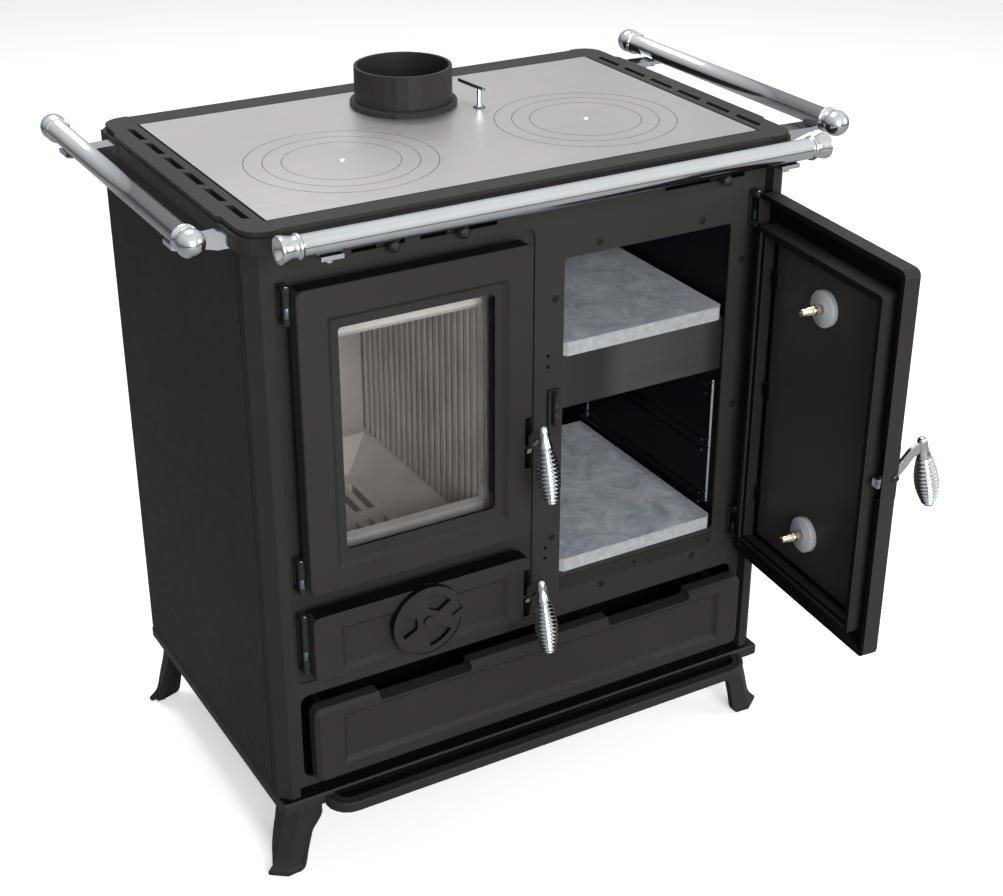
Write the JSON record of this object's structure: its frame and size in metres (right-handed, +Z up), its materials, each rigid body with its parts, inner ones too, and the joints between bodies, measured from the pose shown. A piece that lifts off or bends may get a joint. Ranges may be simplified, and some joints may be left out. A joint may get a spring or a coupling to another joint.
{
  "type": "wood cook stove",
  "caption": "Freestanding wood cook stove with a steel hob, glazed firebox door, ash door, oven with open door, drawer and towel rails.",
  "frame": {"origin": "on the floor under the centre of the whole stove's box, taken with the oven door open", "axes": "+X to the right seen from the front, +Y to the back, +Z up along the flue collar"},
  "size_m": [0.875, 0.7862, 0.911],
  "materials": {
    "black_casting": "matt",
    "black_sheet": "matt",
    "bright_plate": "ground",
    "chrome": "polished",
    "stainless": "satin",
    "wire": "bright",
    "baking_stone": "honed",
    "fire_stone": "matt",
    "clear_glass": "clear",
    "dark_glass": "dark",
    "rope_seal": "woven",
    "brass": "satin",
    "black_knob": "satin"
  },
  "bodies": {
    "stove_body": {"plinth": "black_casting", "feet": "black_casting", "front_ledge": "black_casting", "side_panels": "black_sheet", "back_panel": "black_sheet", "bottom_panel": "black_sheet", "front_panel": "black_sheet", "corner_posts": "black_sheet", "firebox_frame": "black_casting", "hob_frame": "black_sheet", "hob_gasket": "rope_seal", "cooktop_plate": "bright_plate", "hob_rings": "bright_plate", "side_casting_left": "black_casting", "side_casting_right": "black_casting", "front_rail_casting": "black_casting", "rear_rail_casting": "black_casting", "flue_collar": "black_casting", "towel_rails_side": "chrome", "towel_rail_front": "chrome", "rail_brackets": "chrome", "slider_guides": "black_sheet", "drawer_runners": "black_sheet", "oven_liner": "black_sheet", "oven_stones": "baking_stone", "oven_band": "stainless", "rack_ladders": "wire", "oven_sill": "black_sheet", "latch_keepers": "black_casting", "hinge_brackets": "black_casting", "firebox_side_linings": "fire_stone", "firebox_back_lining": "fire_stone", "baffle_beam": "fire_stone", "hearth_trough": "fire_stone", "fire_grate": "fire_stone", "ash_pan": "black_sheet", "firebox_supports": "black_sheet"},
    "firebox_door": {"firebox_door": "black_casting", "firebox_door_glass": "clear_glass", "firebox_door_inner_frame": "black_casting", "firebox_door_fittings": "black_casting"},
    "firebox_lever": {"firebox_door_lever": "chrome"},
    "ash_door": {"ash_door": "black_casting", "ash_door_inner_frame": "black_casting", "ash_door_fittings": "black_casting"},
    "ash_lever": {"ash_door_lever": "chrome"},
    "air_dial": {"air_dial": "black_casting"},
    "oven_door": {"oven_door": "black_casting", "oven_door_glass": "dark_glass", "oven_door_inner_frame": "black_casting", "oven_door_fittings": "black_casting", "oven_door_thermometers": "brass"},
    "oven_lever": {"oven_door_lever": "chrome"},
    "storage_drawer": {"drawer_front": "black_casting", "drawer_tray": "black_sheet"},
    "air_slider_left": {"air_slider_left": "black_knob"},
    "air_slider_middle": {"air_slider_middle": "black_knob"},
    "air_slider_right": {"air_slider_right": "black_knob"},
    "damper": {"damper": "chrome"}
  },
  "joints": [
    {"name": "firebox_door_hinge", "type": "hinge", "parent": "stove_body", "child": "firebox_door", "pos_m": [-0.3165, -0.08103, 0.59], "axis": [0, 0, -1], "range_deg": [0, 85.3]},
    {"name": "ash_door_hinge", "type": "hinge", "parent": "stove_body", "child": "ash_door", "pos_m": [-0.3165, -0.08103, 0.332], "axis": [0, 0, -1], "range_deg": [0, 85.3]},
    {"name": "oven_door_hinge", "type": "hinge", "parent": "stove_body", "child": "oven_door", "pos_m": [0.3165, -0.08103, 0.54], "axis": [0, 0, 1], "range_deg": [-85.3, 0]},
    {"name": "firebox_lever_pivot", "type": "hinge", "parent": "firebox_door", "child": "firebox_lever", "pos_m": [-0.0225, -0.09833, 0.53], "axis": [-1, 0, 0], "range_deg": [0, 25]},
    {"name": "ash_lever_pivot", "type": "hinge", "parent": "ash_door", "child": "ash_lever", "pos_m": [-0.0225, -0.09833, 0.318], "axis": [-1, 0, 0], "range_deg": [0, 25]},
    {"name": "oven_lever_pivot", "type": "hinge", "parent": "oven_door", "child": "oven_lever", "pos_m": [0.30965, -0.37546, 0.53], "axis": [-0.0819, -0.9966, 0], "range_deg": [0, 25]},
    {"name": "air_dial_spin", "type": "hinge", "parent": "ash_door", "child": "air_dial", "pos_m": [-0.166, -0.10233, 0.333], "axis": [0, 1, 0], "range_deg": [0, 60]},
    {"name": "drawer_slide", "type": "slide", "parent": "stove_body", "child": "storage_drawer", "axis": [0, -1, 0], "range_m": [0, 0.3]},
    {"name": "air_slide_left", "type": "slide", "parent": "stove_body", "child": "air_slider_left", "axis": [1, 0, 0], "range_m": [-0.038, 0.014]},
    {"name": "air_slide_middle", "type": "slide", "parent": "stove_body", "child": "air_slider_middle", "axis": [1, 0, 0], "range_m": [-0.04, 0.04]},
    {"name": "air_slide_right", "type": "slide", "parent": "stove_body", "child": "air_slider_right", "axis": [1, 0, 0], "range_m": [-0.074, 0.028]},
    {"name": "damper_turn", "type": "hinge", "parent": "stove_body", "child": "damper", "pos_m": [0.0764, 0.19377, 0.87], "axis": [0, 0, -1], "range_deg": [0, 90]}
  ]
}
